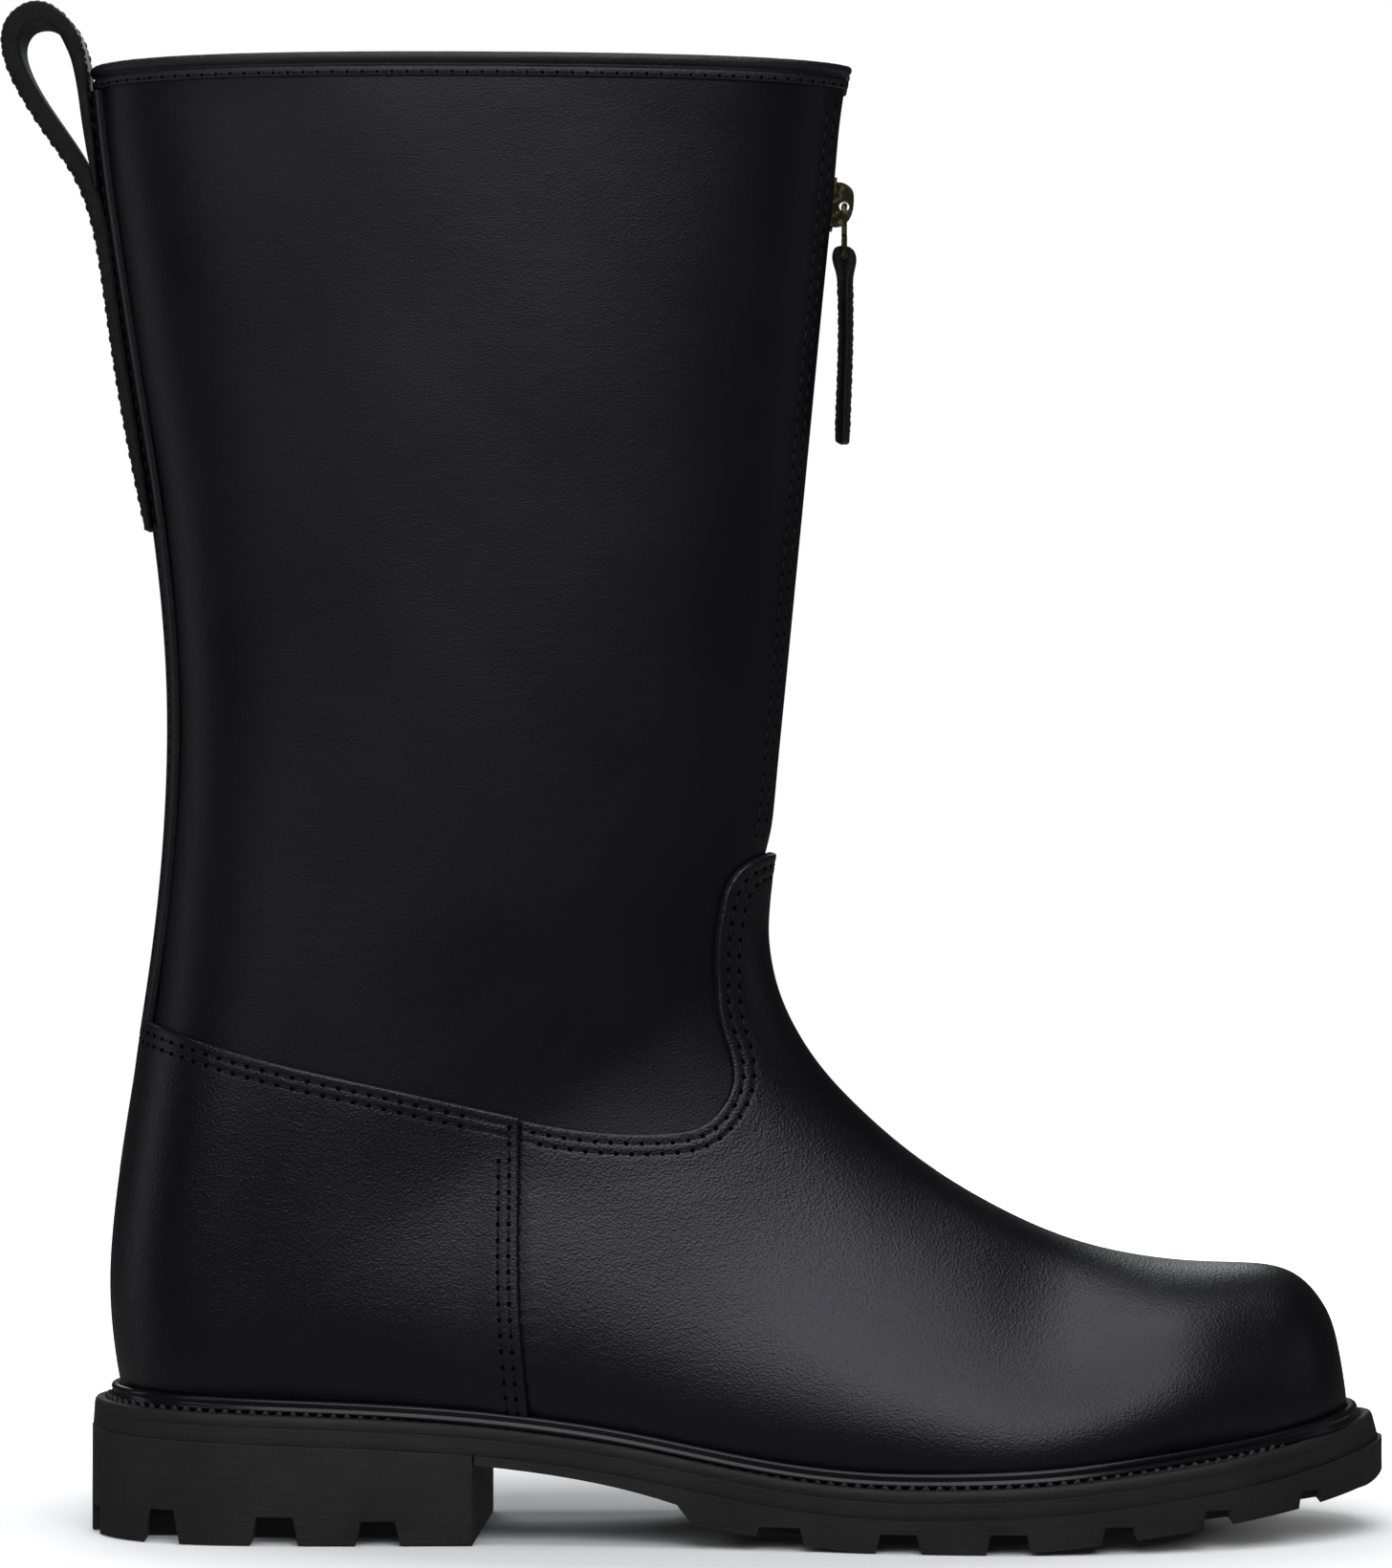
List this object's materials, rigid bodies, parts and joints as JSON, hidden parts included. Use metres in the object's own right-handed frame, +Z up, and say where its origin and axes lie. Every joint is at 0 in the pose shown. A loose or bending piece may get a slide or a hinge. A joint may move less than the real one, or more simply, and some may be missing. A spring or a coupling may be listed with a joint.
{
  "type": "mid-calf boot",
  "caption": "Right mid-calf leather boot with a stitched welt, lugged sole and stacked heel, front zip with a swinging leather pull, bound top edge and a folded pull loop at the back.",
  "frame": {"origin": "on the ground under the middle of the heel, on a lug of the heel block", "axes": "+X towards the toe, +Y towards the wearer's left (the medial side), +Z up"},
  "size_m": [0.333, 0.1063, 0.3675],
  "materials": {
    "upper_leather": "smooth black leather, soft sheen",
    "shaft_leather": "smooth black leather, soft sheen",
    "lining": "dark matte lining leather",
    "board": "leather board",
    "cork": "granular cork filler",
    "steel": "plain steel",
    "sole_rubber": "matte dark rubber",
    "welt_leather": "dark welt strip, stitched",
    "rand_gloss": "glossy black bead",
    "binding": "grained black binding",
    "tape": "black woven tape",
    "brass": "antique dark brass"
  },
  "bodies": {
    "boot": {"back_strap": "shaft_leather", "cork_filler": "cork", "foot_lining": "lining", "heel_block": "sole_rubber", "heel_counter": "board", "heel_nails": "steel", "insole_board": "board", "midsole": "sole_rubber", "outsole": "sole_rubber", "pull_loop": "shaft_leather", "quarter": "upper_leather", "shaft_lateral": "shaft_leather", "shaft_lining": "lining", "shaft_medial": "shaft_leather", "shank": "steel", "sock_liner": "lining", "toe_puff": "board", "topline_binding": "binding", "vamp": "upper_leather", "vamp_interlining": "board", "welt": "welt_leather", "welt_rand": "rand_gloss", "zipper_bottom_stop": "brass", "zipper_tape_lateral": "tape", "zipper_tape_medial": "tape", "zipper_teeth_lateral": "brass", "zipper_teeth_medial": "brass", "zipper_top_stops": "brass"},
    "slider": {"zipper_slider": "brass"},
    "pull_link": {"zipper_pull_link": "brass"},
    "pull_strap": {"zipper_pull_strap": "shaft_leather"}
  },
  "joints": [
    {"name": "zipper_slide", "type": "slide", "parent": "boot", "child": "slider", "axis": [0.096, 0, 0.9954], "range_m": [-0.128, 0]},
    {"name": "pull_link_swing", "type": "hinge", "parent": "slider", "child": "pull_link", "pos_m": [0.14544, 0, 0.319], "axis": [0, -1, 0], "range_deg": [0, 140]},
    {"name": "pull_strap_swing", "type": "hinge", "parent": "pull_link", "child": "pull_strap", "pos_m": [0.14544, 0, 0.30675], "axis": [0, -1, 0], "range_deg": [0, 35]}
  ]
}
